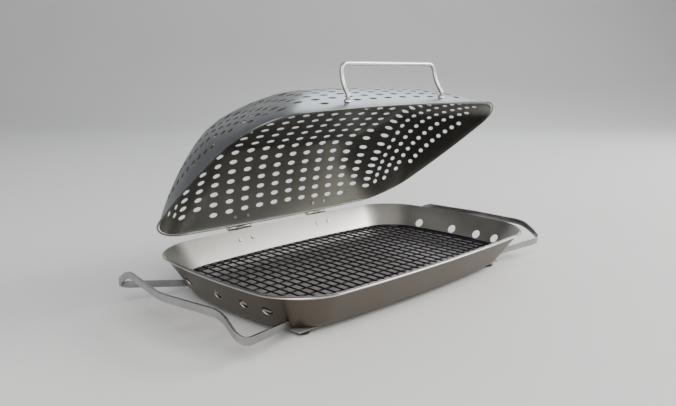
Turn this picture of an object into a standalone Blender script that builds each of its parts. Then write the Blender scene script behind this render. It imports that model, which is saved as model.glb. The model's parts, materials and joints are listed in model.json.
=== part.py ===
"""Grill basket: a lidded grilling tray with a lift-out wire rack, modelled as separate pieces.

Metres, +Z up, +X along the tray, +Y to the hinge side.  Pieces are placed from the middle of the
tray, and at the end moved until the origin is on the floor under the middle of the whole basket.
The lid is modelled closed, around its hinge axis, and then propped open.
"""

import math

import bmesh
import bpy
from mathutils import Matrix, Vector

MM = 0.001

# Plan of the rim: a rounded rectangle whose sides bow outward
RIM_HALF_LENGTH = 170 * MM
RIM_HALF_WIDTH = 107 * MM
RIM_CORNER = 41.5 * MM
BOW_LONG_SIDE = 8 * MM
BOW_SHORT_SIDE = 9.8 * MM

# Tray: straight sloping walls down to a smaller flat floor
SHEET = 0.8 * MM
TRAY_DEPTH = 36.4 * MM
FLOOR_HALF_LENGTH = 148.8 * MM
FLOOR_HALF_WIDTH = 82.7 * MM
FLOOR_CORNER = 32.4 * MM
FLOOR_EDGE_ROUND = 5 * MM
TRAY_BOTTOM = 5.5 * MM
RIM_HEIGHT = TRAY_BOTTOM + TRAY_DEPTH
WALL_SLANT = 1.2  # level distance per unit of distance square to a sloping wall

# Beads: a wire along each rim
BEAD_RADIUS = 0.9 * MM
TRAY_EDGE_INSET = 0.8 * MM
LID_EDGE_INSET = 1.3 * MM
LID_RIM_LIFT = 1.5 * MM

# Row of air holes in each end wall
END_HOLE_DEPTH = 18.7 * MM
END_HOLE_RADIUS = 5 * MM
END_HOLE_PLACES = (46.4 * MM, -1 * MM, -36.3 * MM, -62.5 * MM)
END_HOLE_CUT = 20 * MM

# Lid: rings shrink from the rim to a nearly flat top while they rise
LID_HEIGHT = 59.5 * MM
LID_CROWN = 4 * MM
TOP_HALF_LENGTH = 105.3 * MM
TOP_HALF_WIDTH = 45.5 * MM
LENGTH_POWER = 0.81
WIDTH_POWER = 1.37
CORNER_POWER = 2.56
RISE_POWER = 1.62
ROUND_POWER = 1.2
WIDEST_CORNER = 72 * MM
CROWN_RINGS = (0.6, 0.2)
LID_OPEN = math.radians(35.7)

# Hinges at the back
HINGE_Y = 119 * MM
HINGE_LIFT = 1 * MM
HINGE_X = 56.4 * MM
LEAF_WIDTH = 28 * MM
LEAF_SHEET = 0.9 * MM
KNUCKLE_RADIUS = 2.8 * MM
KNUCKLE_HALF = 5 * MM
KNUCKLE_PLAY = 0.2 * MM
PIN_RADIUS = 1.5 * MM
PIN_HEAD_RADIUS = 2.5 * MM
PIN_HEAD_HEIGHT = 1 * MM
TRAY_NECK_Y = HINGE_Y - 1.6 * MM
LID_NECK_Y = HINGE_Y - 2 * MM
LID_NECK_LIFT = 3.4 * MM
BASKET_MIDDLE_Y = (HINGE_Y + KNUCKLE_RADIUS - RIM_HALF_WIDTH - BOW_LONG_SIDE - BEAD_RADIUS) / 2
ROLL_START = math.radians(200)
ROLL_TURN = math.radians(300)
ROLL_STEPS = 10

# Rivets
RIVET_RADIUS = 1.5 * MM
RIVET_HEAD_RADIUS = 2.4 * MM
RIVET_HEAD_HEIGHT = 1.2 * MM
RIVET_SPREAD = 8.5 * MM
TRAY_RIVET_DEPTH = 10 * MM
TRAY_LEAF_DEPTH = 17 * MM
LID_RIVET_SHARE = 0.945
LID_LEAF_START = 0.982
LID_LEAF_END = 0.922
LID_LEAF_STEPS = 4
RIVET_TAIL_RADIUS = 2 * MM
RIVET_TAIL_HEIGHT = 0.8 * MM
RIVET_CUT = 10 * MM
DOME = ((0, 1), (0.6, 0.85), (1, 0.25))  # shares of a head's radius and height

# End handles: a strap standing on its edge; its points are measured from the rim's plane
STRAP_WIDTH = 6.4 * MM
STRAP_THICKNESS = 2 * MM
STRAP_WALL = Vector((145.4, 71.5, -30.5)) * MM
STRAP_CORNER = Vector((212.8, 94.7, -22.2)) * MM
STRAP_SHOULDER = Vector((211.9, 70.3, -6.4)) * MM
STRAP_MIDDLE = Vector((221.7, 0, -7.7)) * MM
STRAP_CORNER_BEND = 14 * MM
STRAP_BEND = 10 * MM
STRAP_SUNK = 14 * MM

# Lid handle: a bent rod through the front wall, with a collar outside and a nut inside
LID_ROD_RADIUS = 1.9 * MM
LID_GRIP_END = Vector((64.5, -115.6, 45.5)) * MM
LID_LEG_BEND = Vector((65.3, -108.3, 31.5)) * MM
LID_GRIP_BEND = 8 * MM
LID_LEG_EASE = 7.5 * MM
LID_FOOT_EASE = 1.6 * MM
LID_FOOT_X = 66 * MM
LID_FOOT_SHARE = 0.9
LID_FOOT_STAND = 4.6 * MM
LID_ROD_INSIDE = 5.5 * MM
LID_ROD_CUT = 8 * MM
COLLAR_RADIUS = 3.4 * MM
COLLAR_HEIGHT = 1.2 * MM
NUT_RADIUS = 3.6 * MM
NUT_HEIGHT = 3 * MM

# Rack: a frame rod resting near the sloping walls, filled with wires
RACK_DEPTH = 22.3 * MM
FRAME_RADIUS = 1.5 * MM
FRAME_DEPTH = 23.8 * MM
WIRE = 1.6 * MM
CROSS_WIRE_PITCH = 9.85 * MM
CROSS_WIRES = 32
LONG_WIRE_PITCH = 14 * MM
LONG_WIRES = 13

# Feet near the corners
FOOT_X = 135 * MM
FOOT_Y = 72.5 * MM
PAD_TOP_RADIUS = 6.6 * MM
PAD_BASE_RADIUS = 5.4 * MM
PLATE_LENGTH = 22 * MM
PLATE_WIDTH = 16 * MM
PLATE_HEIGHT = 1 * MM
PLATE_EDGE = 0.3 * MM

GAP = 0.35 * MM

# Points of a ring: on each corner arc, and between the arcs
CORNER_STEPS = 6
LONG_SIDE_STEPS = 6
SHORT_SIDE_STEPS = 4
LID_STEPS = 9
ROUND_SIDES = 16


def mix(first, last, share):
    """Tuple of numbers, a share of the way from the first to the last."""
    return tuple(a + (b - a) * share for a, b in zip(first, last))


def bowed(x, y, half_length, half_width):
    """A point of a rounded rectangle, moved out where its sides bow."""
    out_x = 1 + BOW_SHORT_SIDE / half_length * (1 - (y / half_width) ** 2)
    out_y = 1 + BOW_LONG_SIDE / half_width * (1 - (x / half_length) ** 2)
    return x * out_x, y * out_y


def ring(half_length, half_width, corner, z):
    """Closed loop of points at one height, counter-clockwise seen from above."""
    arcs = []
    for index, (side_x, side_y) in enumerate(((1, 1), (-1, 1), (-1, -1), (1, -1))):
        centre = Vector((side_x * (half_length - corner), side_y * (half_width - corner)))
        angles = [math.pi / 2 * (index + step / CORNER_STEPS) for step in range(CORNER_STEPS + 1)]
        arcs.append([centre + corner * Vector((math.cos(a), math.sin(a))) for a in angles])
    flat = []
    for index, arc in enumerate(arcs):
        flat += arc
        steps = SHORT_SIDE_STEPS if index % 2 else LONG_SIDE_STEPS
        following = arcs[(index + 1) % len(arcs)][0]
        flat += [arc[-1].lerp(following, step / steps) for step in range(1, steps)]
    return [Vector((*bowed(p.x, p.y, half_length, half_width), z)) for p in flat]


def tray_section(depth, inset=0.0):
    """Half length, half width, corner radius and height of the tray's outside at a depth."""
    rim = (RIM_HALF_LENGTH - TRAY_EDGE_INSET, RIM_HALF_WIDTH - TRAY_EDGE_INSET, RIM_CORNER)
    floor = (FLOOR_HALF_LENGTH, FLOOR_HALF_WIDTH, FLOOR_CORNER)
    half_length, half_width, corner = mix(rim, floor, depth / TRAY_DEPTH)
    return half_length - inset, half_width - inset, corner - inset, RIM_HEIGHT - depth


def lid_section(share):
    """The lid's outside, closed: share 1 is its rim and share 0 the edge of its top."""
    rise = LID_HEIGHT * (1 - share**RISE_POWER) ** (1 / ROUND_POWER)
    rim_half_length = RIM_HALF_LENGTH - LID_EDGE_INSET
    rim_half_width = RIM_HALF_WIDTH - LID_EDGE_INSET
    half_length = TOP_HALF_LENGTH + (rim_half_length - TOP_HALF_LENGTH) * share**LENGTH_POWER
    half_width = TOP_HALF_WIDTH + (rim_half_width - TOP_HALF_WIDTH) * share**WIDTH_POWER
    corner = WIDEST_CORNER + (RIM_CORNER - WIDEST_CORNER) * share**CORNER_POWER
    corner = min(corner, 0.98 * half_width)
    return half_length, half_width, corner, RIM_HEIGHT + LID_RIM_LIFT + rise


def long_side_point(section, x, side):
    """Point of a section's long side, on the +Y side or the -Y side."""
    half_length, half_width, _, z = section
    return Vector((x, side * bowed(x, half_width, half_length, half_width)[1], z))


def outward(below, above):
    """Unit normal, in the YZ plane, of a wall through two points, away from the middle."""
    along = above - below
    side = math.copysign(1, below.y)
    return Vector((0, side * along.z, -side * along.y)).normalized()


def new_object(name, data, material, collection, pivot=None):
    """Object placed as if the lid were closed; the lid's pieces hang on its pivot."""
    item = bpy.data.objects.new(name, data)
    collection.objects.link(item)
    if material is not None:
        data.materials.append(material)
    if pivot is not None:
        item.parent = pivot
        item.matrix_parent_inverse = Matrix.Translation(-pivot.location)
    return item


def mesh_from(form):
    """Mesh of a finished bmesh, its faces turned outward."""
    bmesh.ops.recalc_face_normals(form, faces=form.faces)
    mesh = bpy.data.meshes.new("form")
    form.to_mesh(mesh)
    form.free()
    mesh.shade_smooth()
    mesh.set_sharp_from_angle(angle=math.radians(35))
    return mesh


def skin(rings, closed_start=False, closed_end=False):
    """Mesh through a list of equal rings, with its first and last ring filled where asked."""
    form = bmesh.new()
    loops = [[form.verts.new(point) for point in points] for points in rings]
    for low, high in zip(loops, loops[1:]):
        for index, vertex in enumerate(low):
            after = (index + 1) % len(low)
            form.faces.new((vertex, low[after], high[after], high[index]))
    if closed_start:
        form.faces.new(list(reversed(loops[0])))
    if closed_end:
        form.faces.new(loops[-1])
    return mesh_from(form)


def turned(name, profile, place, axis, material, collection, pivot=None):
    """Solid of revolution: (radius, along) points, down its outside; off the axis it is a ring."""
    mesh = bpy.data.meshes.new(name)
    count = len(profile)
    edges = [(index, index + 1) for index in range(count - 1)]
    if profile[0][0] > 0:
        edges.append((count - 1, 0))
    mesh.from_pydata([(radius, 0, along) for radius, along in profile], edges, [])
    item = new_object(name, mesh, material, collection, pivot)
    screw = item.modifiers.new("turn", "SCREW")
    screw.steps = ROUND_SIDES
    screw.render_steps = ROUND_SIDES
    screw.use_merge_vertices = True
    screw.merge_threshold = 0.00001
    item.location = place
    item.rotation_euler = axis.to_track_quat("Z", "Y").to_euler()
    return item


def rod(name, points, radius, material, collection, pivot=None, cyclic=False):
    """Round bar along a path."""
    curve = bpy.data.curves.new(name, "CURVE")
    curve.dimensions = "3D"
    curve.bevel_depth = radius
    curve.bevel_resolution = 2
    curve.use_fill_caps = not cyclic
    spline = curve.splines.new("POLY")
    spline.points.add(len(points) - 1)
    for target, point in zip(spline.points, points):
        target.co = (*point, 1)
    spline.use_cyclic_u = cyclic
    return new_object(name, curve, material, collection, pivot)


def eased(points, reaches, steps=5):
    """Path whose inner corners are rounded, each over its own reach to both sides."""
    path = [points[0]]
    for before, corner, after, reach in zip(points, points[1:], points[2:], reaches):
        start = corner + (before - corner).normalized() * reach
        end = corner + (after - corner).normalized() * reach
        for step in range(steps + 1):
            share = step / steps
            path.append(start.lerp(corner, share).lerp(corner.lerp(end, share), share))
    path.append(points[-1])
    return path


def cylinders(name, places, radius, length, collection):
    """One cutter made of several cylinders, each at a (centre, axis) place."""
    form = bmesh.new()
    for centre, axis in places:
        matrix = Matrix.Translation(centre) @ axis.to_track_quat("Z", "Y").to_matrix().to_4x4()
        bmesh.ops.create_cone(form, cap_ends=True, segments=ROUND_SIDES, radius1=radius,
                              radius2=radius, depth=length, matrix=matrix)
    cutter = new_object(name, mesh_from(form), None, collection)
    cutter.hide_render = True
    cutter.display_type = "WIRE"
    return cutter


def cut(item, cutter, operation="DIFFERENCE"):
    """Exact Boolean of an object with a cutter."""
    boolean = item.modifiers.new(cutter.name, "BOOLEAN")
    boolean.operation = operation
    boolean.object = cutter


def thicken(item, thickness, offset):
    """Sheet made solid: offset -1 grows inward, 0 to both sides."""
    solid = item.modifiers.new("sheet", "SOLIDIFY")
    solid.thickness = thickness
    solid.offset = offset
    solid.use_even_offset = True


def new_material(name, colour, roughness, metallic):
    material = bpy.data.materials.new(name)
    material.use_nodes = True
    shader = material.node_tree.nodes["Principled BSDF"]
    shader.inputs["Base Color"].default_value = (*colour, 1)
    shader.inputs["Roughness"].default_value = roughness
    shader.inputs["Metallic"].default_value = metallic
    material.diffuse_color = (*colour, 1)
    return material


def tray_wall_point(x, depth):
    """Outside of the tray's back wall."""
    return long_side_point(tray_section(depth), x, 1)


def tray_rivet_places(hinge_x):
    """Centre and axis of the rivets that hold a hinge leaf to the tray's back wall."""
    normal = outward(tray_wall_point(hinge_x, TRAY_DEPTH), tray_wall_point(hinge_x, 0))
    offsets = (-RIVET_SPREAD, RIVET_SPREAD)
    return [(tray_wall_point(hinge_x + offset, TRAY_RIVET_DEPTH), normal) for offset in offsets]


def lid_wall_point(x, share, side):
    """Outside of one of the lid's long walls, closed."""
    return long_side_point(lid_section(share), x, side)


def lid_normal(x, share, side):
    return outward(lid_wall_point(x, share + 0.01, side), lid_wall_point(x, share - 0.01, side))


def lid_rivet_places(hinge_x):
    """Centre and axis of the rivets that hold a hinge leaf to the lid's back wall."""
    normal = lid_normal(hinge_x, LID_RIVET_SHARE, 1)
    offsets = (-RIVET_SPREAD, RIVET_SPREAD)
    return [(lid_wall_point(hinge_x + offset, LID_RIVET_SHARE, 1), normal) for offset in offsets]


def lid_foot_place(side):
    """Centre and outward axis of the hole for one leg of the lid's handle."""
    x = side * LID_FOOT_X
    return lid_wall_point(x, LID_FOOT_SHARE, -1), lid_normal(x, LID_FOOT_SHARE, -1)


def make_tray(parts, cutters, steel):
    """Pressed pan with sloping walls, a rounded floor edge, air holes and rivet holes."""
    wall_end = tray_section(TRAY_DEPTH - FLOOR_EDGE_ROUND)
    corner = tray_section(TRAY_DEPTH)
    floor_start = tray_section(TRAY_DEPTH, FLOOR_EDGE_ROUND)
    sections = [floor_start]
    for step in range(1, 4):
        share = step / 4
        sections.append(mix(mix(floor_start, corner, share), mix(corner, wall_end, share), share))
    sections += [wall_end, tray_section(0)]
    tray = new_object("tray_pan", skin([ring(*s) for s in sections], closed_start=True), steel, parts)
    thicken(tray, SHEET, -1)
    end_slope = Vector((TRAY_DEPTH, 0, FLOOR_HALF_LENGTH - RIM_HALF_LENGTH)).normalized()
    holes = []
    for side in (-1, 1):
        axis = Vector((side * end_slope.x, 0, end_slope.z))
        half_length, half_width, _, z = tray_section(END_HOLE_DEPTH)
        for y in END_HOLE_PLACES:
            x = bowed(half_length, y, half_length, half_width)[0]
            holes.append((Vector((side * x, y, z)), axis))
    cut(tray, cylinders("cut_air_holes", holes, END_HOLE_RADIUS, END_HOLE_CUT, cutters))
    rivets = [place for hinge_x in (-HINGE_X, HINGE_X) for place in tray_rivet_places(hinge_x)]
    cut(tray, cylinders("cut_tray_rivets", rivets, RIVET_RADIUS + GAP, RIVET_CUT, cutters))
    bead = ring(RIM_HALF_LENGTH, RIM_HALF_WIDTH, RIM_CORNER, RIM_HEIGHT - BEAD_RADIUS)
    rod("tray_rim_wire", bead, BEAD_RADIUS, steel, parts, cyclic=True)


def make_lid(parts, cutters, steel, pivot):
    """Domed lid with a wire along its rim."""
    shares = [math.cos(math.pi / 2 * step / LID_STEPS) for step in range(LID_STEPS + 1)]
    rings = [ring(*lid_section(share)) for share in shares]
    top_z = lid_section(0)[3]
    for scale in CROWN_RINGS:
        crown = top_z + LID_CROWN * (1 - scale**2)
        rings.append([Vector((p.x * scale, p.y * scale, crown)) for p in rings[LID_STEPS]])
    lid = new_object("lid_shell", skin(rings, closed_end=True), steel, parts, pivot)
    thicken(lid, SHEET, -1)
    rivets = [place for hinge_x in (-HINGE_X, HINGE_X) for place in lid_rivet_places(hinge_x)]
    holes = cylinders("cut_lid_rivets", rivets, RIVET_RADIUS + GAP, RIVET_CUT, cutters)
    feet = [lid_foot_place(side) for side in (-1, 1)]
    foot_holes = cylinders("cut_lid_handle", feet, LID_ROD_RADIUS + GAP, LID_ROD_CUT, cutters)
    for cutter in (holes, foot_holes):
        cutter.parent = pivot
        cutter.matrix_parent_inverse = Matrix.Translation(-pivot.location)
        cut(lid, cutter)
    bead = ring(RIM_HALF_LENGTH, RIM_HALF_WIDTH, RIM_CORNER, RIM_HEIGHT + LID_RIM_LIFT)
    rod("lid_rim_wire", bead, BEAD_RADIUS, steel, parts, pivot, cyclic=True)


def make_lid_handle(parts, steel, pivot):
    """Bent rod standing on the front wall, a collar under each leg and a nut inside the lid."""
    feet = {side: lid_foot_place(side) for side in (-1, 1)}
    path = []
    for side in (-1, 1):
        centre, normal = feet[side]
        leg = [centre - normal * LID_ROD_INSIDE, centre + normal * LID_FOOT_STAND]
        leg += [Vector((side * p.x, p.y, RIM_HEIGHT + p.z)) for p in (LID_LEG_BEND, LID_GRIP_END)]
        path += leg if side < 0 else reversed(leg)
    reaches = (LID_FOOT_EASE, LID_LEG_EASE, LID_GRIP_BEND)
    path = eased(path, reaches + reaches[::-1])
    rod("lid_handle", path, LID_ROD_RADIUS, steel, parts, pivot)
    bore = LID_ROD_RADIUS + GAP
    for side, word in ((-1, "left"), (1, "right")):
        centre, normal = feet[side]
        low, high = GAP, GAP + COLLAR_HEIGHT
        collar = [(bore, high), (COLLAR_RADIUS * 0.7, high), (COLLAR_RADIUS, low), (bore, low)]
        turned(f"lid_handle_collar_{word}", collar, centre, normal, steel, parts, pivot)
        high = -SHEET - GAP
        low = high - NUT_HEIGHT
        nut = [(bore, high), (NUT_RADIUS, high), (NUT_RADIUS * 0.8, low), (bore, low)]
        turned(f"lid_handle_nut_{word}", nut, centre, normal, steel, parts, pivot)


def make_side_handle(side, word, parts, cutters, steel):
    """Strap on its edge, bent to a raised U and welded by its ends low on the tray's corners."""
    sunk = STRAP_WALL + (STRAP_WALL - STRAP_CORNER).normalized() * STRAP_SUNK
    half = [sunk, STRAP_CORNER, STRAP_SHOULDER, STRAP_MIDDLE]
    half = [Vector((side * p.x, p.y, RIM_HEIGHT + p.z)) for p in half]
    path = half + [Vector((p.x, -p.y, p.z)) for p in reversed(half[:-1])]
    reaches = (STRAP_CORNER_BEND, STRAP_BEND, STRAP_BEND, STRAP_BEND, STRAP_CORNER_BEND)
    path = eased(path, reaches)
    form = bmesh.new()
    edge = Vector((0, 0, STRAP_WIDTH / 2))
    rows = [(form.verts.new(point - edge), form.verts.new(point + edge)) for point in path]
    for here, there in zip(rows, rows[1:]):
        form.faces.new((here[0], there[0], there[1], here[1]))
    strap = new_object(f"side_handle_{word}", mesh_from(form), steel, parts)
    thicken(strap, STRAP_THICKNESS, 0)
    room = WALL_SLANT * GAP
    sections = (tray_section(-2 * BEAD_RADIUS, -room), tray_section(TRAY_DEPTH + GAP, -room))
    envelope = skin([ring(*s) for s in sections], closed_start=True, closed_end=True)
    cutter = new_object(f"cut_{word}_strap_ends", envelope, None, cutters)
    cutter.hide_render = True
    cutter.display_type = "WIRE"
    cut(strap, cutter)


def leaf(name, hinge_x, path, neck_faces, breaks, rolled, material, collection, pivot=None):
    """Hinge leaf: a strip along a YZ path, whose roll and neck keep only the rolled columns."""
    form = bmesh.new()
    kept = {}
    columns = [hinge_x + offset for offset in breaks]

    def vertex(row, column):
        if (row, column) not in kept:
            y, z = path[row]
            kept[row, column] = form.verts.new((columns[column], y, z))
        return kept[row, column]

    for row in range(len(path) - 1):
        for column in range(len(columns) - 1):
            if row < neck_faces and column not in rolled:
                continue
            corners = ((row, column), (row, column + 1), (row + 1, column + 1), (row + 1, column))
            form.faces.new([vertex(*at) for at in corners])
    item = new_object(name, mesh_from(form), material, collection, pivot)
    thicken(item, LEAF_SHEET, 0)
    return item


def roll(start, turn):
    """Points of a knuckle's roll around the hinge axis, as (y, z)."""
    radius = KNUCKLE_RADIUS - LEAF_SHEET / 2
    angles = [start + turn * step / ROLL_STEPS for step in range(ROLL_STEPS + 1)]
    axis_z = RIM_HEIGHT + HINGE_LIFT
    return [(HINGE_Y + radius * math.cos(a), axis_z + radius * math.sin(a)) for a in angles]


def rivet(name, centre, axis, head_base, material, collection, pivot=None):
    """Domed head outside the leaf, shank through leaf and wall, upset tail inside the wall."""
    tail = -SHEET - GAP
    head = [(RIVET_HEAD_RADIUS * out, head_base + RIVET_HEAD_HEIGHT * up) for out, up in DOME]
    profile = head + [
        (RIVET_HEAD_RADIUS, head_base),
        (RIVET_RADIUS, head_base),
        (RIVET_RADIUS, tail),
        (RIVET_TAIL_RADIUS, tail),
        (RIVET_TAIL_RADIUS * 0.8, tail - RIVET_TAIL_HEIGHT),
        (0, tail - RIVET_TAIL_HEIGHT),
    ]
    return turned(name, profile, centre, axis, material, collection, pivot)


def tray_leaf_path(inner_x):
    """Roll, neck under the tray's rim wire, then down along the tray's wall."""
    normal = outward(tray_wall_point(inner_x, TRAY_DEPTH), tray_wall_point(inner_x, 0))
    stand = normal * (GAP + LEAF_SHEET / 2)
    neck_z = RIM_HEIGHT - 2 * BEAD_RADIUS - GAP - LEAF_SHEET / 2
    bend_depth = RIM_HEIGHT + stand.z - neck_z
    bend = tray_wall_point(inner_x, bend_depth) + stand
    end = tray_wall_point(inner_x, TRAY_LEAF_DEPTH) + stand
    path = roll(ROLL_START, -ROLL_TURN)
    path.append((TRAY_NECK_Y, neck_z))
    return path + [(bend.y, bend.z), (end.y, end.z)]


def lid_leaf_path(inner_x):
    """Roll, neck over the lid's rim wire, then up along the lid's wall."""
    path = roll(-ROLL_START, ROLL_TURN)
    path.append((LID_NECK_Y, RIM_HEIGHT + HINGE_LIFT + LID_NECK_LIFT))
    for step in range(LID_LEAF_STEPS + 1):
        share = LID_LEAF_START + (LID_LEAF_END - LID_LEAF_START) * step / LID_LEAF_STEPS
        point = lid_wall_point(inner_x, share, 1)
        point += lid_normal(inner_x, share, 1) * (GAP + LEAF_SHEET / 2)
        path.append((point.y, point.z))
    return path


def make_hinge(side, word, parts, cutters, steel, pivot):
    """Two riveted leaves rolled around one pin."""
    hinge_x = side * HINGE_X
    inner_x = HINGE_X - LEAF_WIDTH / 2
    half = LEAF_WIDTH / 2
    outer_roll = KNUCKLE_HALF + KNUCKLE_PLAY
    middle_roll = KNUCKLE_HALF - KNUCKLE_PLAY
    neck_faces = ROLL_STEPS + 1
    tray_leaf = leaf(f"tray_leaf_{word}", hinge_x, tray_leaf_path(inner_x), neck_faces,
                     (-half, -outer_roll, outer_roll, half), (0, 2), steel, parts)
    lid_leaf = leaf(f"lid_leaf_{word}", hinge_x, lid_leaf_path(inner_x), neck_faces,
                    (-half, -middle_roll, middle_roll, half), (1,), steel, parts, pivot)
    sheets = (
        ("tray", tray_leaf, tray_rivet_places(hinge_x), tray_wall_point(inner_x, TRAY_RIVET_DEPTH), None),
        ("lid", lid_leaf, lid_rivet_places(hinge_x), lid_wall_point(inner_x, LID_RIVET_SHARE, 1), pivot),
    )
    for owner, item, places, wall, hanger in sheets:
        holes = cylinders(f"cut_{owner}_leaf_{word}", places, RIVET_RADIUS + GAP, RIVET_CUT, cutters)
        if hanger is not None:
            holes.parent = hanger
            holes.matrix_parent_inverse = Matrix.Translation(-hanger.location)
        cut(item, holes)
        for number, (centre, axis) in enumerate(places, 1):
            head_base = (wall - centre).dot(axis) + 2 * GAP + LEAF_SHEET
            rivet(f"{owner}_rivet_{word}_{number}", centre, axis, head_base, steel, parts, hanger)
    reach = half + GAP
    head = reach + PIN_HEAD_HEIGHT
    pin = [(0, head), (PIN_HEAD_RADIUS * 0.8, head), (PIN_HEAD_RADIUS, reach), (PIN_RADIUS, reach),
           (PIN_RADIUS, -reach), (PIN_HEAD_RADIUS, -reach), (PIN_HEAD_RADIUS * 0.8, -head), (0, -head)]
    centre = Vector((hinge_x, HINGE_Y, RIM_HEIGHT + HINGE_LIFT))
    turned(f"hinge_pin_{word}", pin, centre, Vector((1, 0, 0)), steel, parts)


def make_rack(parts, cutters, steel):
    """Frame rod that follows the tray's walls, and crossing wires inside it."""
    frame_inset = WALL_SLANT * (SHEET + GAP + FRAME_RADIUS)
    frame = ring(*tray_section(FRAME_DEPTH, frame_inset))
    rod("rack_frame", frame, FRAME_RADIUS, steel, parts, cyclic=True)

    def breaks(count, pitch, far):
        middles = [(index - (count - 1) / 2) * pitch for index in range(count)]
        return [-far] + [m + edge for m in middles for edge in (-WIRE / 2, WIRE / 2)] + [far]

    xs = breaks(CROSS_WIRES, CROSS_WIRE_PITCH, RIM_HALF_LENGTH)
    ys = breaks(LONG_WIRES, LONG_WIRE_PITCH, RIM_HALF_WIDTH)
    form = bmesh.new()
    top = RIM_HEIGHT - RACK_DEPTH
    grid = [[form.verts.new((x, y, top)) for y in ys] for x in xs]
    for column in range(len(xs) - 1):
        for row in range(len(ys) - 1):
            if column % 2 or row % 2:
                form.faces.new((grid[column][row], grid[column + 1][row],
                                grid[column + 1][row + 1], grid[column][row + 1]))
    bmesh.ops.delete(form, geom=[v for v in form.verts if not v.link_faces], context="VERTS")
    wires = new_object("rack_wires", mesh_from(form), steel, parts)
    thicken(wires, WIRE, -1)
    inside = tray_section(FRAME_DEPTH, frame_inset + FRAME_RADIUS + GAP)[:3]
    prism = skin([ring(*inside, top - 2 * WIRE), ring(*inside, top + WIRE)], True, True)
    bound = new_object("cut_rack_outline", prism, None, cutters)
    bound.hide_render = True
    bound.display_type = "WIRE"
    cut(wires, bound, "INTERSECT")


def make_foot(side_x, side_y, word, parts, steel, black):
    """Small plate under a corner of the floor, on a tapering pad."""
    plate_base = TRAY_BOTTOM - GAP - PLATE_HEIGHT
    form = bmesh.new()
    bmesh.ops.create_cube(form, size=1)
    bmesh.ops.scale(form, vec=(PLATE_LENGTH, PLATE_WIDTH, PLATE_HEIGHT), verts=form.verts)
    plate = new_object(f"foot_plate_{word}", mesh_from(form), steel, parts)
    plate.location = (side_x * FOOT_X, side_y * FOOT_Y, plate_base + PLATE_HEIGHT / 2)
    rounding = plate.modifiers.new("edges", "BEVEL")
    rounding.width = PLATE_EDGE
    rounding.segments = 1
    pad_height = plate_base - GAP
    form = bmesh.new()
    bmesh.ops.create_cone(form, cap_ends=True, segments=ROUND_SIDES, radius1=PAD_BASE_RADIUS,
                          radius2=PAD_TOP_RADIUS, depth=pad_height)
    pad = new_object(f"foot_pad_{word}", mesh_from(form), black, parts)
    pad.location = (side_x * FOOT_X, side_y * FOOT_Y, pad_height / 2)


def main():
    for item in list(bpy.data.objects):
        bpy.data.objects.remove(item, do_unlink=True)
    parts = bpy.data.collections.new("grill_basket")
    cutters = bpy.data.collections.new("cutters")
    for collection in (parts, cutters):
        bpy.context.scene.collection.children.link(collection)
    sheet = new_material("pressed_steel", (0.46, 0.45, 0.42), 0.32, 1)
    bright = new_material("bright_steel", (0.75, 0.75, 0.74), 0.2, 1)
    dark = new_material("rack_steel", (0.2, 0.2, 0.2), 0.35, 1)
    black = new_material("black_pad", (0.02, 0.02, 0.02), 0.6, 0)
    pivot = bpy.data.objects.new("lid_pivot", None)
    pivot.location = (0, HINGE_Y, RIM_HEIGHT + HINGE_LIFT)
    pivot.rotation_euler = (-LID_OPEN, 0, 0)
    parts.objects.link(pivot)
    make_tray(parts, cutters, sheet)
    make_lid(parts, cutters, sheet, pivot)
    make_lid_handle(parts, bright, pivot)
    for side, word in ((-1, "left"), (1, "right")):
        make_side_handle(side, word, parts, cutters, bright)
        make_hinge(side, word, parts, cutters, bright, pivot)
    make_rack(parts, cutters, dark)
    for side_x, along in ((-1, "left"), (1, "right")):
        for side_y, across in ((-1, "front"), (1, "back")):
            make_foot(side_x, side_y, f"{across}_{along}", parts, sheet, black)
    for item in [*parts.objects, *cutters.objects]:
        if item.parent is None:
            item.location.y -= BASKET_MIDDLE_Y
    bpy.context.view_layer.update()


main()
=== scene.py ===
"""Grill basket in stainless steel: detailed meshes, materials, studio floor, light and camera.

Metres, +Z up.  Pieces are shaped around the middle of the tray, with the lid closed, and then put
in their rest places: the lid turned open, and everything moved to the frame's origin.
"""

import json
import math

import bmesh
import bpy
from mathutils import Matrix, Vector
from mathutils.bvhtree import BVHTree


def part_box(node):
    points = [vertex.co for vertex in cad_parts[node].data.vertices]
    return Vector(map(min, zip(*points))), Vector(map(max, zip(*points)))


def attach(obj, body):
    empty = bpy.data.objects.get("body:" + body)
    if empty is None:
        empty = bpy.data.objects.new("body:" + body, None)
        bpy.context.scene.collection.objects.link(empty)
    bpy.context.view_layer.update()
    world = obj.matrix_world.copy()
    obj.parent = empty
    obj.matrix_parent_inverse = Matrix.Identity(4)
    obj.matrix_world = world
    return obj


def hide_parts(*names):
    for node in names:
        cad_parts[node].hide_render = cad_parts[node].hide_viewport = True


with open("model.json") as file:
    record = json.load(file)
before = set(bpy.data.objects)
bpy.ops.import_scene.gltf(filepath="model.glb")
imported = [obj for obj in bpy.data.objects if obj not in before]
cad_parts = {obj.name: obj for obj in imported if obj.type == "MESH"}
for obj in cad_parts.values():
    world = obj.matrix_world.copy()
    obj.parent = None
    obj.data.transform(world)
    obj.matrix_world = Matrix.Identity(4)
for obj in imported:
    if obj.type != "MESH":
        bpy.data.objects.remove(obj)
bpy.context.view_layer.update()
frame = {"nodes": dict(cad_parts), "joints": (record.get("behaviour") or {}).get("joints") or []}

MM = 0.001

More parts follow.
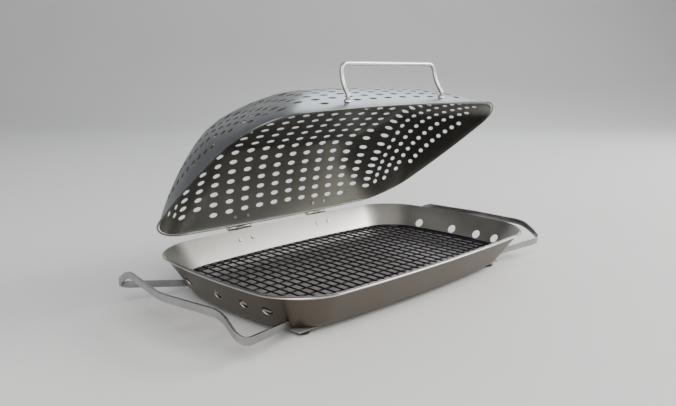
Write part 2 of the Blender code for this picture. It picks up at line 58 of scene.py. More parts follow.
# Plan of the rim: a rounded rectangle whose sides bow outward
RIM_CORNER = 41.5 * MM
BOW_LONG_SIDE = 8 * MM
BOW_SHORT_SIDE = 9.8 * MM
BEAD_RADIUS = 0.9 * MM
RIM_LOW, RIM_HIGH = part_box("tray_rim_wire")
RIM_HALF_LENGTH = (RIM_HIGH.x - RIM_LOW.x) / 2 - BEAD_RADIUS - BOW_SHORT_SIDE
RIM_HALF_WIDTH = (RIM_HIGH.y - RIM_LOW.y) / 2 - BEAD_RADIUS - BOW_LONG_SIDE
RIM_HEIGHT = RIM_HIGH.z
TRAY_MIDDLE = Vector((0, (RIM_LOW.y + RIM_HIGH.y) / 2, 0))

# Tray
SHEET = 0.8 * MM
TRAY_DEPTH = RIM_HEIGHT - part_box("tray_pan")[0].z
FLOOR_HALF_LENGTH = 148.8 * MM
FLOOR_HALF_WIDTH = 82.7 * MM
FLOOR_CORNER = 32.4 * MM
FLOOR_EDGE_ROUND = 5 * MM
FLOOR_EDGE_STEPS = 10
WALL_STEPS = 8
TRAY_EDGE_INSET = 0.8 * MM
END_HOLE_DEPTH = 18.7 * MM
END_HOLE_RADIUS = 5 * MM
END_HOLE_PLACES = (46.4 * MM, -1 * MM, -36.3 * MM, -62.5 * MM)
END_HOLE_CUT = 16 * MM

# Lid
LID_EDGE_INSET = 1.3 * MM
LID_RIM_LIFT = 1.5 * MM
LID_HEIGHT = 59.5 * MM
LID_CROWN = 4 * MM
TOP_HALF_LENGTH = 105.3 * MM
TOP_HALF_WIDTH = 45.5 * MM
LENGTH_POWER = 0.81
WIDTH_POWER = 1.37
CORNER_POWER = 2.56
RISE_POWER = 1.62
ROUND_POWER = 1.2
WIDEST_CORNER = 72 * MM
ROUNDEST_SHARE = 0.98
LID_STEPS = 34
CROWN_SCALES = (0.85, 0.7, 0.55, 0.4, 0.25, 0.1)
PROFILE_STEPS = 200

# Lid perforation: rows and columns measured along the surface from the middle
COLUMN_PITCH = 20.6 * MM
END_COLUMN_PITCH = 13.4 * MM
ROW_PITCH = 10.95 * MM
WIDE_COLUMNS = 7
END_COLUMNS = 4
ROWS = 11
SOLID_BAND = 12 * MM
HOLE_LENGTH = 10.2 * MM
HOLE_WIDTH = 4.7 * MM
END_HOLE_LENGTH = 4.8 * MM
END_HOLE_WIDTH = 5.8 * MM
HANDLE_CLEARANCE = 8.5 * MM
HOLE_CUT = 5 * MM
HOLE_SIDES = 24

# Rack
RACK_DEPTH = 22.3 * MM
FRAME_DEPTH = 23.8 * MM
FRAME_RADIUS = 1.5 * MM
WIRE_RADIUS = 0.8 * MM
CROSS_WIRE_PITCH = 9.85 * MM
CROSS_WIRES = 32
LONG_WIRE_PITCH = 14 * MM
LONG_WIRES = 13
WELDED_SPACING = 1.8 * WIRE_RADIUS
RACK_GAP = 0.35 * MM
WALL_SLANT = 1.2
FRAME_INSET = WALL_SLANT * (SHEET + RACK_GAP + FRAME_RADIUS)

# Handles
STRAP_WIDTH = 6.4 * MM
STRAP_THICKNESS = 2 * MM
STRAP_WALL = Vector((145.4, 71.5, -30.5)) * MM
STRAP_CORNER = Vector((212.8, 94.7, -22.2)) * MM
STRAP_SHOULDER = Vector((211.9, 70.3, -6.4)) * MM
STRAP_MIDDLE = Vector((221.7, 0, -7.7)) * MM
STRAP_CORNER_BEND = 14 * MM
STRAP_BEND = 10 * MM
STRAP_SUNK = 14 * MM
STRAP_EDGE = 0.6 * MM
STRAP_EDGE_STEPS = 3
STRAP_EDGE_ANGLE = math.radians(60)
LID_ROD_RADIUS = 1.9 * MM
LID_GRIP_END = Vector((64.5, -115.6, 45.5)) * MM
LID_LEG_BEND = Vector((65.3, -108.3, 31.5)) * MM
LID_GRIP_BEND = 8 * MM
LID_LEG_EASE = 7.5 * MM
LID_FOOT_EASE = 1.6 * MM
LID_FOOT_X = 66 * MM
LID_FOOT_SHARE = 0.9
LID_FOOT_STEP = 0.01
LID_FOOT_STAND = 4.6 * MM
LID_ROD_INSIDE = 5.5 * MM

# Painted shade on the steel: the tray below the rack, and the lid's inside, which is painted lighter
# low at the back
RACK_SHADE_LEVEL = RIM_HEIGHT - FRAME_DEPTH
RACK_SHADE_FADE = 3 * MM
RACK_SHADE_METALLIC = 0.2
LID_SHADE_HEIGHTS = (60 * MM, 105 * MM)
LID_SHADE_LIGHTER_LOW = 2.4

# Steel's surface: noise scales per metre, and the limits of what the noises change
CLOUD_SCALE = 14
STAIN_SCALE = 60
HAIR_SCALE = 900
PIT_SCALE = 2600
STAIN_STRENGTH = 0.35
ROUGHNESS_DOWN = 0.04
ROUGHNESS_UP = 0.05
PIT_SHARE = 0.5
SURFACE_RELIEF = 0.05 * MM
# How much lighter the cloudy patches of the painted shade are
PAINTED_SHADE_MOTTLE = 1.5
TURN_BLEND = 0.2

# How many times finer the drawn hairs are along X, Y and Z
SHEET_GRAIN = (1, 14, 14)
ROD_GRAIN = (1, 1, 8)
STRAP_GRAIN = (14, 1, 1)

# Enamel
DUST_SCALE = 120
PEEL_SCALE = 1500
PEEL_RELIEF = 0.1 * MM
DUST_GREY = 0.06

# Smooth shading breaks at edges sharper than this
SHARP_ANGLE = math.radians(35)
CAD_SHARP_ANGLE = math.radians(40)

# Camera, from the middle of the tray's rim
CAMERA_PLACE = Vector((-471.9, -453.2, 167.3)) * MM
CAMERA_TARGET = Vector((117.7, 142, 0)) * MM
CAMERA_LENS = 35.17
BACKDROP_TURN = math.radians(-45)

# Points of a ring, and of a round bar's quarter
CORNER_STEPS = 24
LONG_SIDE_STEPS = 36
SHORT_SIDE_STEPS = 20
ROD_RESOLUTION = 4

HINGE = next(joint for joint in frame["joints"] if joint["name"] == "lid_hinge")
HINGE_PLACE = Vector(HINGE["pos_m"])
LID_OPEN = math.radians(-HINGE["range_deg"][0])
OPENED = (
    Matrix.Translation(HINGE_PLACE)
    @ Matrix.Rotation(LID_OPEN, 4, Vector(HINGE["axis"]))
    @ Matrix.Translation(-HINGE_PLACE)
)
CENTRED = Matrix.Translation(TRAY_MIDDLE)
PLACES = {"tray": CENTRED, "rack": CENTRED, "lid": OPENED @ CENTRED}


# ---------------------------------------------------------------- shapes


def mix(first, last, share):
    """Tuple of numbers, a share of the way from the first to the last."""
    return tuple(a + (b - a) * share for a, b in zip(first, last))


def bowed(x, y, half_length, half_width):
    """A point of a rounded rectangle, moved out where its sides bow."""
    out_x = 1 + BOW_SHORT_SIDE / half_length * (1 - (y / half_width) ** 2)
    out_y = 1 + BOW_LONG_SIDE / half_width * (1 - (x / half_length) ** 2)
    return x * out_x, y * out_y


def ring(half_length, half_width, corner, z):
    """Closed loop of points at one height, counter-clockwise seen from above."""
    arcs = []
    for index, (side_x, side_y) in enumerate(((1, 1), (-1, 1), (-1, -1), (1, -1))):
        centre = Vector((side_x * (half_length - corner), side_y * (half_width - corner)))
        angles = [math.pi / 2 * (index + step / CORNER_STEPS) for step in range(CORNER_STEPS + 1)]
        arcs.append([centre + corner * Vector((math.cos(a), math.sin(a))) for a in angles])
    flat = []
    for index, arc in enumerate(arcs):
        flat += arc
        steps = SHORT_SIDE_STEPS if index % 2 else LONG_SIDE_STEPS
        following = arcs[(index + 1) % len(arcs)][0]
        flat += [arc[-1].lerp(following, step / steps) for step in range(1, steps)]
    return [Vector((*bowed(p.x, p.y, half_length, half_width), z)) for p in flat]


def tray_section(depth, inset=0.0):
    """Half length, half width, corner radius and height of the tray's outside at a depth."""
    rim = (RIM_HALF_LENGTH - TRAY_EDGE_INSET, RIM_HALF_WIDTH - TRAY_EDGE_INSET, RIM_CORNER)
    floor = (FLOOR_HALF_LENGTH, FLOOR_HALF_WIDTH, FLOOR_CORNER)
    half_length, half_width, corner = mix(rim, floor, depth / TRAY_DEPTH)
    return half_length - inset, half_width - inset, corner - inset, RIM_HEIGHT - depth


def lid_section(share):
    """The lid's outside, closed: share 1 is its rim and share 0 the edge of its top."""
    rise = LID_HEIGHT * (1 - share**RISE_POWER) ** (1 / ROUND_POWER)
    rim_half_length = RIM_HALF_LENGTH - LID_EDGE_INSET
    rim_half_width = RIM_HALF_WIDTH - LID_EDGE_INSET
    half_length = TOP_HALF_LENGTH + (rim_half_length - TOP_HALF_LENGTH) * share**LENGTH_POWER
    half_width = TOP_HALF_WIDTH + (rim_half_width - TOP_HALF_WIDTH) * share**WIDTH_POWER
    corner = WIDEST_CORNER + (RIM_CORNER - WIDEST_CORNER) * share**CORNER_POWER
    corner = min(corner, ROUNDEST_SHARE * half_width)
    return half_length, half_width, corner, RIM_HEIGHT + LID_RIM_LIFT + rise


def lid_front_point(x, share):
    """Point of the lid's front wall, closed."""
    half_length, half_width, _, z = lid_section(share)
    return Vector((x, -bowed(x, half_width, half_length, half_width)[1], z))


def skin(rings, closed_start=False, closed_end=False):
    """Finished bmesh through a list of equal rings."""
    form = bmesh.new()
    loops = [[form.verts.new(point) for point in points] for points in rings]
    for low, high in zip(loops, loops[1:]):
        for index, vertex in enumerate(low):
            after = (index + 1) % len(low)
            form.faces.new((vertex, low[after], high[after], high[index]))
    if closed_start:
        form.faces.new(list(reversed(loops[0])))
    if closed_end:
        form.faces.new(loops[-1])
    bmesh.ops.recalc_face_normals(form, faces=form.faces)
    return form


def eased(points, reaches, steps=14):
    """Path whose inner corners are rounded, each over its own reach to both sides."""
    path = [points[0]]
    for before, corner, after, reach in zip(points, points[1:], points[2:], reaches):
        start = corner + (before - corner).normalized() * reach
        end = corner + (after - corner).normalized() * reach
        for step in range(steps + 1):
            share = step / steps
            path.append(start.lerp(corner, share).lerp(corner.lerp(end, share), share))
    path.append(points[-1])
    return path


# ---------------------------------------------------------------- objects


def shade(mesh, angle=SHARP_ANGLE):
    """Smooth shading, but for the mesh's sharp edges."""
    mesh.shade_smooth()
    mesh.set_sharp_from_angle(angle=angle)


def piece(name, form, material):
    """Mesh object from a bmesh, smooth but for its sharp edges."""
    mesh = bpy.data.meshes.new(name)
    form.to_mesh(mesh)
    form.free()
    shade(mesh)
    item = bpy.data.objects.new(name, mesh)
    bpy.context.scene.collection.objects.link(item)
    if material is not None:
        mesh.materials.append(material)
    return item


def apply_modifiers(item):
    """Makes the object's modifiers part of its mesh."""
    bpy.context.view_layer.update()
    evaluated = item.evaluated_get(bpy.context.evaluated_depsgraph_get())
    mesh = bpy.data.meshes.new_from_object(evaluated)
    item.modifiers.clear()
    item.data = mesh
    shade(mesh)


def thicken(item, thickness, offset):
    """Solid sheet from a surface: offset -1 grows it inward, 0 to both sides."""
    solid = item.modifiers.new("sheet", "SOLIDIFY")
    solid.thickness = thickness
    solid.offset = offset
    solid.use_even_offset = True


def punch(item, form):
    """Cuts the holes of a bmesh of closed punches into a solid sheet."""
    punches = piece("punches", form, None)
    cut = item.modifiers.new("punch", "BOOLEAN")
    cut.operation = "DIFFERENCE"
    cut.solver = "MANIFOLD"
    cut.object = punches
    apply_modifiers(item)
    bpy.data.objects.remove(punches, do_unlink=True)


def add_punch(form, centre, across, along, normal, length):
    """Oval prism: across and along are its half sizes with their directions."""
    turn = Matrix((across.normalized(), along.normalized(), normal)).transposed().to_4x4()
    size = Matrix.Diagonal((across.length, along.length, 1, 1))
    bmesh.ops.create_cone(form, cap_ends=True, segments=HOLE_SIDES, radius1=1, radius2=1,
                          depth=length, matrix=Matrix.Translation(centre) @ turn @ size)


def rods(name, paths, radius, material, cyclic=False):
    """Round bars along several paths, as one curve object."""
    curve = bpy.data.curves.new(name, "CURVE")
    curve.dimensions = "3D"
    curve.bevel_depth = radius
    curve.bevel_resolution = ROD_RESOLUTION
    curve.use_fill_caps = not cyclic
    for path in paths:
        spline = curve.splines.new("POLY")
        spline.points.add(len(path) - 1)
        for target, point in zip(spline.points, path):
            target.co = (*point, 1)
        spline.use_cyclic_u = cyclic
    item = bpy.data.objects.new(name, curve)
    bpy.context.scene.collection.objects.link(item)
    curve.materials.append(material)
    return item


def stands_for(item, body, slot, *nodes):
    """Puts a piece in its rest place on a body, in the stead of plain CAD nodes."""
    item.data.transform(PLACES[body])
    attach(item, body)
    if nodes:
        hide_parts(*nodes)


# ---------------------------------------------------------------- materials


def noise(nodes, links, vector, scale, detail=4.0, roughness=0.55):
    """Noise between 0 and 1, most of it near the middle."""
    texture = nodes.new("ShaderNodeTexNoise")
    texture.inputs["Scale"].default_value = scale
    texture.inputs["Detail"].default_value = detail
    texture.inputs["Roughness"].default_value = roughness
    links.new(vector, texture.inputs["Vector"])
    return texture.outputs["Fac"]


def remap(nodes, links, value, low, high, start=0.3, end=0.7):
    """Value spread from start..end to low..high, and held at both ends."""
    node = nodes.new("ShaderNodeMapRange")
    node.inputs["From Min"].default_value = start
    node.inputs["From Max"].default_value = end
    node.inputs["To Min"].default_value = low
    node.inputs["To Max"].default_value = high
    links.new(value, node.inputs["Value"])
    return node.outputs["Result"]


def blend_colours(nodes, links, share, first, last):
    """Mix of two colours, each a tuple or another node's output."""
    node = nodes.new("ShaderNodeMix")
    node.data_type = "RGBA"
    for name, colour in (("A", first), ("B", last)):
        socket = next(s for s in node.inputs if s.name == name and s.type == "RGBA")
        if isinstance(colour, tuple):
            socket.default_value = (*colour, 1)
        else:
            links.new(colour, socket)
    links.new(share, node.inputs[0])
    return next(s for s in node.outputs if s.type == "RGBA")


def tinted(colour, strength):
    return tuple(strength * channel for channel in colour)


def facing(nodes, links, up):
    """0 on faces turned away from a direction, 1 on faces turned to it."""
    dot = nodes.new("ShaderNodeVectorMath")
    dot.operation = "DOT_PRODUCT"
    links.new(nodes.new("ShaderNodeTexCoord").outputs["Normal"], dot.inputs[0])
    dot.inputs[1].default_value = up
    return remap(nodes, links, dot.outputs["Value"], 0, 1, -TURN_BLEND, TURN_BLEND)


def risen(nodes, links, place, low, high):
    """0 below one height, 1 above another."""
    split = nodes.new("ShaderNodeSeparateXYZ")
    links.new(place, split.inputs[0])
    return remap(nodes, links, split.outputs["Z"], 0, 1, low, high)


def steel(name, light, dark, roughness, grain=(1, 1, 1), painted_shade=None, up=(0, 0, 1), shade_heights=None,
          rack_shade=None, relief=0.15):
    """Satin steel with drawn grain, cloudy stains and fine pitting.

    Optional painted shade: one colour darkens the faces turned away from up, more and more between
    two given heights and painted lighter below them; another, less metallic, is painted shade on
    faces turned up below the rack's level.
    """
    material = bpy.data.materials.new(name)
    material.use_nodes = True
    nodes, links = material.node_tree.nodes, material.node_tree.links
    shader = nodes["Principled BSDF"]
    shader.inputs["Metallic"].default_value = 1
    place = nodes.new("ShaderNodeTexCoord").outputs["Object"]
    stretch = nodes.new("ShaderNodeMapping")
    stretch.inputs["Scale"].default_value = grain
    links.new(place, stretch.inputs["Vector"])
    clouds = noise(nodes, links, place, CLOUD_SCALE)
    stains = noise(nodes, links, place, STAIN_SCALE, 6, 0.65)
    hairs = noise(nodes, links, stretch.outputs["Vector"], HAIR_SCALE, 3)
    pits = noise(nodes, links, place, PIT_SCALE, 2)
    cloudiness = remap(nodes, links, clouds, 0, 1, 0.35, 0.65)
    colour = blend_colours(nodes, links, cloudiness, dark, light)
    spots = remap(nodes, links, stains, 0, STAIN_STRENGTH, 0.5, 0.8)
    colour = blend_colours(nodes, links, spots, colour, dark)
    turned = facing(nodes, links, up)
    # Painted shade under the rack: a darker, less metallic colour on faces turned up below the rack's
    # level
    if rack_shade is not None:
        rack_shade_colour = blend_colours(nodes, links, clouds, rack_shade, tinted(rack_shade, PAINTED_SHADE_MOTTLE))
        unshaded = nodes.new("ShaderNodeMath")
        unshaded.operation = "MAXIMUM"
        links.new(risen(nodes, links, place, RACK_SHADE_LEVEL - RACK_SHADE_FADE, RACK_SHADE_LEVEL), unshaded.inputs[0])
        links.new(remap(nodes, links, turned, 1, 0, 0, 1), unshaded.inputs[1])
        colour = blend_colours(nodes, links, unshaded.outputs[0], rack_shade_colour, colour)
        metallic = remap(nodes, links, unshaded.outputs[0], RACK_SHADE_METALLIC, 1, 0, 1)
        links.new(metallic, shader.inputs["Metallic"])
    # Painted shade on faces turned away from up; where two heights are given it is painted lighter
    # below them
    if painted_shade is not None:
        painted_shade_colour = blend_colours(nodes, links, clouds, painted_shade, tinted(painted_shade, PAINTED_SHADE_MOTTLE))
        if shade_heights is not None:
            shade_rise = risen(nodes, links, place, *shade_heights)
            painted_shade_colour = blend_colours(nodes, links, shade_rise, tinted(painted_shade, LID_SHADE_LIGHTER_LOW), painted_shade_colour)
        colour = blend_colours(nodes, links, turned, painted_shade_colour, colour)
    links.new(colour, shader.inputs["Base Color"])
    spread = nodes.new("ShaderNodeMath")
    spread.operation = "ADD"
    smooth, rough = roughness - ROUGHNESS_DOWN, roughness + ROUGHNESS_UP
    links.new(remap(nodes, links, clouds, smooth, rough), spread.inputs[0])
    links.new(remap(nodes, links, hairs, -ROUGHNESS_DOWN, ROUGHNESS_UP), spread.inputs[1])
    links.new(spread.outputs[0], shader.inputs["Roughness"])
    relief_mix = nodes.new("ShaderNodeMath")
    relief_mix.operation = "MULTIPLY_ADD"
    links.new(pits, relief_mix.inputs[0])
    relief_mix.inputs[1].default_value = PIT_SHARE
    links.new(hairs, relief_mix.inputs[2])
    bump = nodes.new("ShaderNodeBump")
    bump.inputs["Strength"].default_value = relief
    bump.inputs["Distance"].default_value = SURFACE_RELIEF
    links.new(relief_mix.outputs[0], bump.inputs["Height"])
    links.new(bump.outputs["Normal"], shader.inputs["Normal"])
    return material


def enamel(name, colour):
    """Matt black enamel with a faint orange-peel surface and dusty patches."""
    material = bpy.data.materials.new(name)
    material.use_nodes = True
    nodes, links = material.node_tree.nodes, material.node_tree.links
    shader = nodes["Principled BSDF"]
    place = nodes.new("ShaderNodeTexCoord").outputs["Object"]
    dust = remap(nodes, links, noise(nodes, links, place, DUST_SCALE, 5), 0, 1, 0.5, 0.75)
    grey = tuple(channel + DUST_GREY for channel in colour)
    links.new(blend_colours(nodes, links, dust, colour, grey), shader.inputs["Base Color"])
    links.new(remap(nodes, links, dust, 0.45, 0.7, 0, 1), shader.inputs["Roughness"])
    bump = nodes.new("ShaderNodeBump")
    bump.inputs["Strength"].default_value = 0.3
    bump.inputs["Distance"].default_value = PEEL_RELIEF
    links.new(noise(nodes, links, place, PEEL_SCALE), bump.inputs["Height"])
    links.new(bump.outputs["Normal"], shader.inputs["Normal"])
    return material


def matt(name, colour):
    """Pale studio paper with a very faint mottle."""
    material = bpy.data.materials.new(name)
    material.use_nodes = True
    nodes, links = material.node_tree.nodes, material.node_tree.links
    shader = nodes["Principled BSDF"]
    place = nodes.new("ShaderNodeTexCoord").outputs["Object"]
    share = remap(nodes, links, noise(nodes, links, place, 3), 0, 1)
    mottled = blend_colours(nodes, links, share, colour, tinted(colour, 0.97))
    links.new(mottled, shader.inputs["Base Color"])
    shader.inputs["Roughness"].default_value = 0.85
    return material


# ---------------------------------------------------------------- pieces


def make_tray(sheet, bright):
    """Pressed pan: sloping walls, rounded floor edge, air holes; and the wire along its rim."""
    corner = tray_section(TRAY_DEPTH)
    wall_end = tray_section(TRAY_DEPTH - FLOOR_EDGE_ROUND)
    floor_start = tray_section(TRAY_DEPTH, FLOOR_EDGE_ROUND)
    sections = []
    for step in range(FLOOR_EDGE_STEPS + 1):
        share = step / FLOOR_EDGE_STEPS
        sections.append(mix(mix(floor_start, corner, share), mix(corner, wall_end, share), share))
    for step in range(1, WALL_STEPS + 1):
        sections.append(tray_section((TRAY_DEPTH - FLOOR_EDGE_ROUND) * (1 - step / WALL_STEPS)))
    tray = piece("tray_pressing", skin([ring(*s) for s in sections], closed_start=True), sheet)
    thicken(tray, SHEET, -1)
    form = bmesh.new()
    slope = Vector((TRAY_DEPTH, 0, FLOOR_HALF_LENGTH - RIM_HALF_LENGTH)).normalized()
    half_length, half_width, _, z = tray_section(END_HOLE_DEPTH)
    for side in (-1, 1):
        normal = Vector((side * slope.x, 0, slope.z))
        across = Vector((0, 1, 0))
        along = normal.cross(across)
        for y in END_HOLE_PLACES:
            x = side * bowed(half_length, y, half_length, half_width)[0]
            add_punch(form, Vector((x, y, z)), across * END_HOLE_RADIUS, along * END_HOLE_RADIUS,
                      normal, END_HOLE_CUT)
    punch(tray, form)
    stands_for(tray, "tray", "tray_sheet", "tray_pan")
    bead = ring(RIM_HALF_LENGTH, RIM_HALF_WIDTH, RIM_CORNER, RIM_HEIGHT - BEAD_RADIUS)
    rim = rods("tray_rolled_rim", [bead], BEAD_RADIUS, bright, cyclic=True)
    stands_for(rim, "tray", "rim_wire", "tray_rim_wire")


def section_walk(points, distances):
    """Points at given distances along a polyline."""
    found = []
    for distance in distances:
        left = distance
        for here, there in zip(points, points[1:]):
            length = (there - here).length
            if left <= length:
                found.append(here.lerp(there, left / length))
                break
            left -= length
    return found


def lid_profile(direction):
    """Half section of the closed lid from its middle to its rim, along X or Y."""
    points = [Vector((0, 0, RIM_HEIGHT + LID_RIM_LIFT + LID_HEIGHT + LID_CROWN))]
    for step in range(PROFILE_STEPS + 1):
        share = math.sin(math.pi / 2 * step / PROFILE_STEPS)
        half_length, half_width, _, z = lid_section(share)
        if direction == "X":
            points.append(Vector((half_length + BOW_SHORT_SIDE, 0, z)))
        else:
            points.append(Vector((0, half_width + BOW_LONG_SIDE, z)))
    return points


def hole_places(tree, feet):
    """Centre, normal and whether it is a small end hole, for each hole of the closed lid."""
    wide = [COLUMN_PITCH * (index + 0.5) for index in range(WIDE_COLUMNS)]
    ends = [wide[-1] + END_COLUMN_PITCH * (index + 1) for index in range(END_COLUMNS)]
    xs = [point.x for point in section_walk(lid_profile("X"), wide + ends)]
    rows = [ROW_PITCH * index for index in range(ROWS + 1)]
    ys = [point.y for point in section_walk(lid_profile("Y"), rows)]
    above = RIM_HEIGHT + 4 * LID_HEIGHT
    lowest = RIM_HEIGHT + LID_RIM_LIFT + SOLID_BAND
    places = []
    for column, x in enumerate(xs):
        for row, y in enumerate(ys):
            for side_x in (-1, 1):
                for side_y in ((-1, 1) if row else (1,)):
                    start = Vector((side_x * x, side_y * y, above))
                    centre, normal, _, _ = tree.ray_cast(start, Vector((0, 0, -1)))
                    if centre is None or centre.z < lowest:
                        continue
                    if any((centre - foot).length < HANDLE_CLEARANCE for foot in feet):
                        continue
                    places.append((centre, normal, column >= WIDE_COLUMNS))
    return places


def make_lid(sheet, feet):
    """Domed perforated lid, and the wire along its rim."""
    shares = [math.cos(math.pi / 2 * step / LID_STEPS) for step in range(LID_STEPS + 1)]
    rings = [ring(*lid_section(share)) for share in shares]
    top = rings[-1]
    for scale in CROWN_SCALES:
        crown = top[0].z + LID_CROWN * (1 - scale**2)
        rings.append([Vector((p.x * scale, p.y * scale, crown)) for p in top])
    shell = skin(rings, closed_end=True)
    tree = BVHTree.FromBMesh(shell)
    lid = piece("lid_dome", shell, sheet)
    thicken(lid, SHEET, -1)
    form = bmesh.new()
    for centre, normal, at_end in hole_places(tree, feet):
        across = (Vector((1, 0, 0)) - normal * normal.x).normalized()
        along = normal.cross(across)
        length, width = (END_HOLE_LENGTH, END_HOLE_WIDTH) if at_end else (HOLE_LENGTH, HOLE_WIDTH)
        add_punch(form, centre, across * (length / 2), along * (width / 2), normal, HOLE_CUT)
    punch(lid, form)
    stands_for(lid, "lid", "lid_sheet", "lid_shell")
    bead = ring(RIM_HALF_LENGTH, RIM_HALF_WIDTH, RIM_CORNER, RIM_HEIGHT + LID_RIM_LIFT)
    rim = rods("lid_rolled_rim", [bead], BEAD_RADIUS, sheet, cyclic=True)
    stands_for(rim, "lid", "rim_wire", "lid_rim_wire")


def lid_foot(side):
    """Place and outward normal of one leg's hole in the closed lid's front wall."""
    x = side * LID_FOOT_X
    below = lid_front_point(x, LID_FOOT_SHARE + LID_FOOT_STEP)
    upper = lid_front_point(x, LID_FOOT_SHARE - LID_FOOT_STEP)
    along = upper - below
    return lid_front_point(x, LID_FOOT_SHARE), Vector((0, -along.z, along.y)).normalized()


def make_lid_handle(bright):
    """Bent rod through the lid's front wall."""
    path = []
    for side in (-1, 1):
        centre, normal = lid_foot(side)
        leg = [centre - normal * LID_ROD_INSIDE, centre + normal * LID_FOOT_STAND]
        leg += [Vector((side * p.x, p.y, RIM_HEIGHT + p.z)) for p in (LID_LEG_BEND, LID_GRIP_END)]
        path += leg if side < 0 else reversed(leg)
    reaches = (LID_FOOT_EASE, LID_LEG_EASE, LID_GRIP_BEND)
    path = eased(path, reaches + reaches[::-1])
    handle = rods("lid_handle_bar", [path], LID_ROD_RADIUS, bright)
    stands_for(handle, "lid", "handle", "lid_handle")


def make_side_handle(side, word, strap_material):
    """Strap on its edge with eased edges, bent to a raised U, its ends cut to the tray's wall."""
    sunk = STRAP_WALL + (STRAP_WALL - STRAP_CORNER).normalized() * STRAP_SUNK
    half = [sunk, STRAP_CORNER, STRAP_SHOULDER, STRAP_MIDDLE]
    half = [Vector((side * p.x, p.y, RIM_HEIGHT + p.z)) for p in half]
    path = half + [Vector((p.x, -p.y, p.z)) for p in reversed(half[:-1])]
    reaches = (STRAP_CORNER_BEND, STRAP_BEND, STRAP_BEND, STRAP_BEND, STRAP_CORNER_BEND)
    path = eased(path, reaches)
    form = bmesh.new()
    edge = Vector((0, 0, STRAP_WIDTH / 2))
    rows = [(form.verts.new(point - edge), form.verts.new(point + edge)) for point in path]
    for here, there in zip(rows, rows[1:]):
        form.faces.new((here[0], there[0], there[1], here[1]))
    strap = piece(f"side_strap_{word}", form, strap_material)
    thicken(strap, STRAP_THICKNESS, 0)
    sections = (tray_section(-2 * BEAD_RADIUS), tray_section(1.1 * TRAY_DEPTH))
    punch(strap, skin([ring(*s) for s in sections], closed_start=True, closed_end=True))
    rounding = strap.modifiers.new("edges", "BEVEL")
    rounding.width = STRAP_EDGE
    rounding.segments = STRAP_EDGE_STEPS
    rounding.limit_method = "ANGLE"
    rounding.angle_limit = STRAP_EDGE_ANGLE
    apply_modifiers(strap)
    stands_for(strap, "tray", "handle", f"side_handle_{word}")


def ring_half(section, value, along_x):
    """How far a wire across a section reaches at a place along the other direction."""
    points = ring(*section)
    reach = 0.0
    for here, there in zip(points, points[1:] + points[:1]):
        low, high = (here.x, there.x) if along_x else (here.y, there.y)
        if (low - value) * (high - value) <= 0 and low != high:
            point = here.lerp(there, (value - low) / (high - low))
            reach = max(reach, abs(point.y if along_x else point.x))
    return reach


def make_rack(dark):
    """Frame rod and welded round wires: cross wires on top, long wires below."""
    section = tray_section(FRAME_DEPTH, FRAME_INSET)
    frame_rod = rods("rack_frame_rod", [ring(*section)], FRAME_RADIUS, dark, cyclic=True)
    stands_for(frame_rod, "rack", "rack_wire", "rack_frame")
    cross_z = RIM_HEIGHT - RACK_DEPTH - WIRE_RADIUS
    long_z = cross_z - WELDED_SPACING
    cross = []
    for index in range(CROSS_WIRES):
        x = (index - (CROSS_WIRES - 1) / 2) * CROSS_WIRE_PITCH
        reach = ring_half(section, x, True)
        cross.append([Vector((x, -reach, cross_z)), Vector((x, reach, cross_z))])
    along = []
    for index in range(LONG_WIRES):
        y = (index - (LONG_WIRES - 1) / 2) * LONG_WIRE_PITCH
        reach = ring_half(section, y, False)
        along.append([Vector((-reach, y, long_z)), Vector((reach, y, long_z))])
    wires = rods("rack_cross_wires", cross, WIRE_RADIUS, dark)
    stands_for(wires, "rack", "rack_wire", "rack_wires")
    lengthwise = rods("rack_long_wires", along, WIRE_RADIUS, dark)
    stands_for(lengthwise, "rack", "rack_wire")


def finish_cad_nodes(materials):
    """Materials and smooth shading for the CAD pieces that stay as they are."""
    kept = {
        "tray_leaf": "sheet", "lid_leaf": "sheet", "hinge_pin": "bright", "rivet": "bright",
        "collar": "bright", "nut": "bright", "foot_plate": "sheet", "foot_pad": "black",
    }
    for name, node in frame["nodes"].items():
        for part, material in kept.items():
            if part in name:
                node.data.materials.clear()
                node.data.materials.append(materials[material])
                shade(node.data, CAD_SHARP_ANGLE)


# ---------------------------------------------------------------- studio


def make_floor(paper):
    """Pale floor that curves up into a backdrop far behind the basket."""
    width, near, far, height, bend = 5.0, -3.0, 3.0, 3.0, 1.2
    profile = [Vector((0, near, 0)), Vector((0, far - bend, 0))]
    steps = 16
    for step in range(1, steps + 1):
        angle = math.pi / 2 * step / steps
        profile.append(Vector((0, far - bend + bend * math.sin(angle), bend * (1 - math.cos(angle)))))
    profile.append(Vector((0, far, height)))
    form = bmesh.new()
    rows = []
    for point in profile:
        rows.append([form.verts.new((side * width, point.y, point.z)) for side in (-1, 1)])
    for low, high in zip(rows, rows[1:]):
        form.faces.new((low[0], low[1], high[1], high[0]))
    backdrop = piece("floor_sweep", form, paper)
    backdrop.rotation_euler = (0, 0, BACKDROP_TURN)


def add_light(name, place, target, size, power, colour=(1, 1, 1)):
    """Soft rectangular light aimed at a target."""
    data = bpy.data.lights.new(name, "AREA")
    data.shape = "RECTANGLE"
    data.size, data.size_y = size
    data.energy = power
    data.color = colour
    item = bpy.data.objects.new(name, data)
    item.location = place
    item.rotation_euler = (Vector(target) - Vector(place)).to_track_quat("-Z", "Y").to_euler()
    bpy.context.scene.collection.objects.link(item)


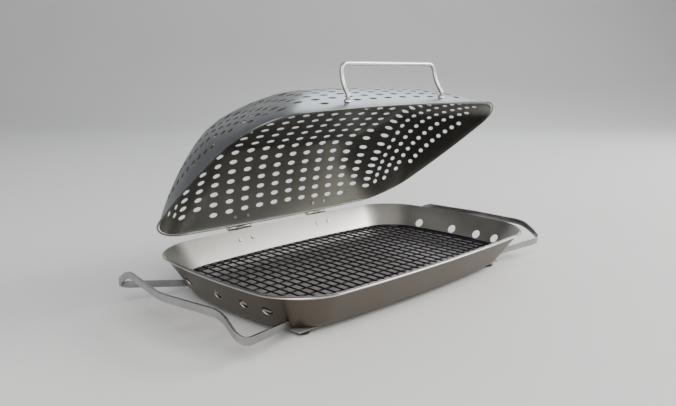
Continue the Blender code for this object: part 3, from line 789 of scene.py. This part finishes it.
def make_studio(paper):
    """Floor, dim bluish surroundings and four soft lights."""
    make_floor(paper)
    world = bpy.data.worlds.new("studio")
    world.use_nodes = True
    world.node_tree.nodes["Background"].inputs["Color"].default_value = (0.9, 0.92, 1, 1)
    world.node_tree.nodes["Background"].inputs["Strength"].default_value = 0.3
    bpy.context.scene.world = world
    middle = (0, 0, 0.06)
    add_light("key", (-1.1, -1.2, 1.5), middle, (1.2, 1.2), 30, (1, 0.97, 0.92))
    add_light("right_front", (1.5, -1.1, 1.1), middle, (1.2, 1.0), 50, (1, 0.98, 0.95))
    add_light("right_back", (1.5, 1.0, 1.25), middle, (1.0, 1.0), 10, (0.86, 0.93, 1))
    add_light("low_front", (-1.6, -1.5, 0.5), middle, (1.2, 0.5), 12)


def make_camera():
    """Low three-quarter view from the front left."""
    rim_middle = TRAY_MIDDLE + Vector((0, 0, RIM_HEIGHT))
    target = rim_middle + CAMERA_TARGET
    place = rim_middle + CAMERA_PLACE
    data = bpy.data.cameras.new("camera")
    data.lens = CAMERA_LENS
    data.sensor_width = 36
    data.clip_start = 0.01
    camera = bpy.data.objects.new("camera", data)
    camera.location = place
    camera.rotation_euler = (target - place).to_track_quat("-Z", "Y").to_euler()
    bpy.context.scene.collection.objects.link(camera)
    bpy.context.scene.camera = camera


# ---------------------------------------------------------------- build

lid_up = OPENED.to_3x3() @ Vector((0, 0, 1))
# Painted shade: the tray's outside and its floor under the rack are darkened; the lid's inside is
# darkened and painted lighter low down
tray_steel = steel("tray_steel", (0.54, 0.525, 0.50), (0.43, 0.415, 0.39), 0.38, SHEET_GRAIN,
                   (0.085, 0.073, 0.058), rack_shade=(0.25, 0.232, 0.225))
lid_steel = steel("lid_steel", (0.30, 0.32, 0.33), (0.21, 0.225, 0.235), 0.30, SHEET_GRAIN,
                  (0.10, 0.10, 0.088), lid_up, LID_SHADE_HEIGHTS)
bright_steel = steel("bright_steel", (0.66, 0.66, 0.65), (0.54, 0.54, 0.52), 0.30, ROD_GRAIN,
                     relief=0.1)
strap_steel = steel("strap_steel", (0.42, 0.42, 0.42), (0.28, 0.28, 0.28), 0.27, STRAP_GRAIN,
                    relief=0.1)
# Near-black colour: a painted dark reflection on the rack's steel wires
rack_steel = steel("rack_steel", (0.07, 0.07, 0.08), (0.035, 0.035, 0.04), 0.36)
pad_black = enamel("pad_black", (0.012, 0.012, 0.012))

make_tray(tray_steel, bright_steel)
make_lid(lid_steel, [lid_foot(side)[0] for side in (-1, 1)])
make_lid_handle(bright_steel)
for side, word in ((-1, "left"), (1, "right")):
    make_side_handle(side, word, strap_steel)
make_rack(rack_steel)
finish_cad_nodes({"sheet": tray_steel, "bright": bright_steel, "black": pad_black})
make_studio(matt("studio_paper", (0.82, 0.82, 0.81)))
make_camera()
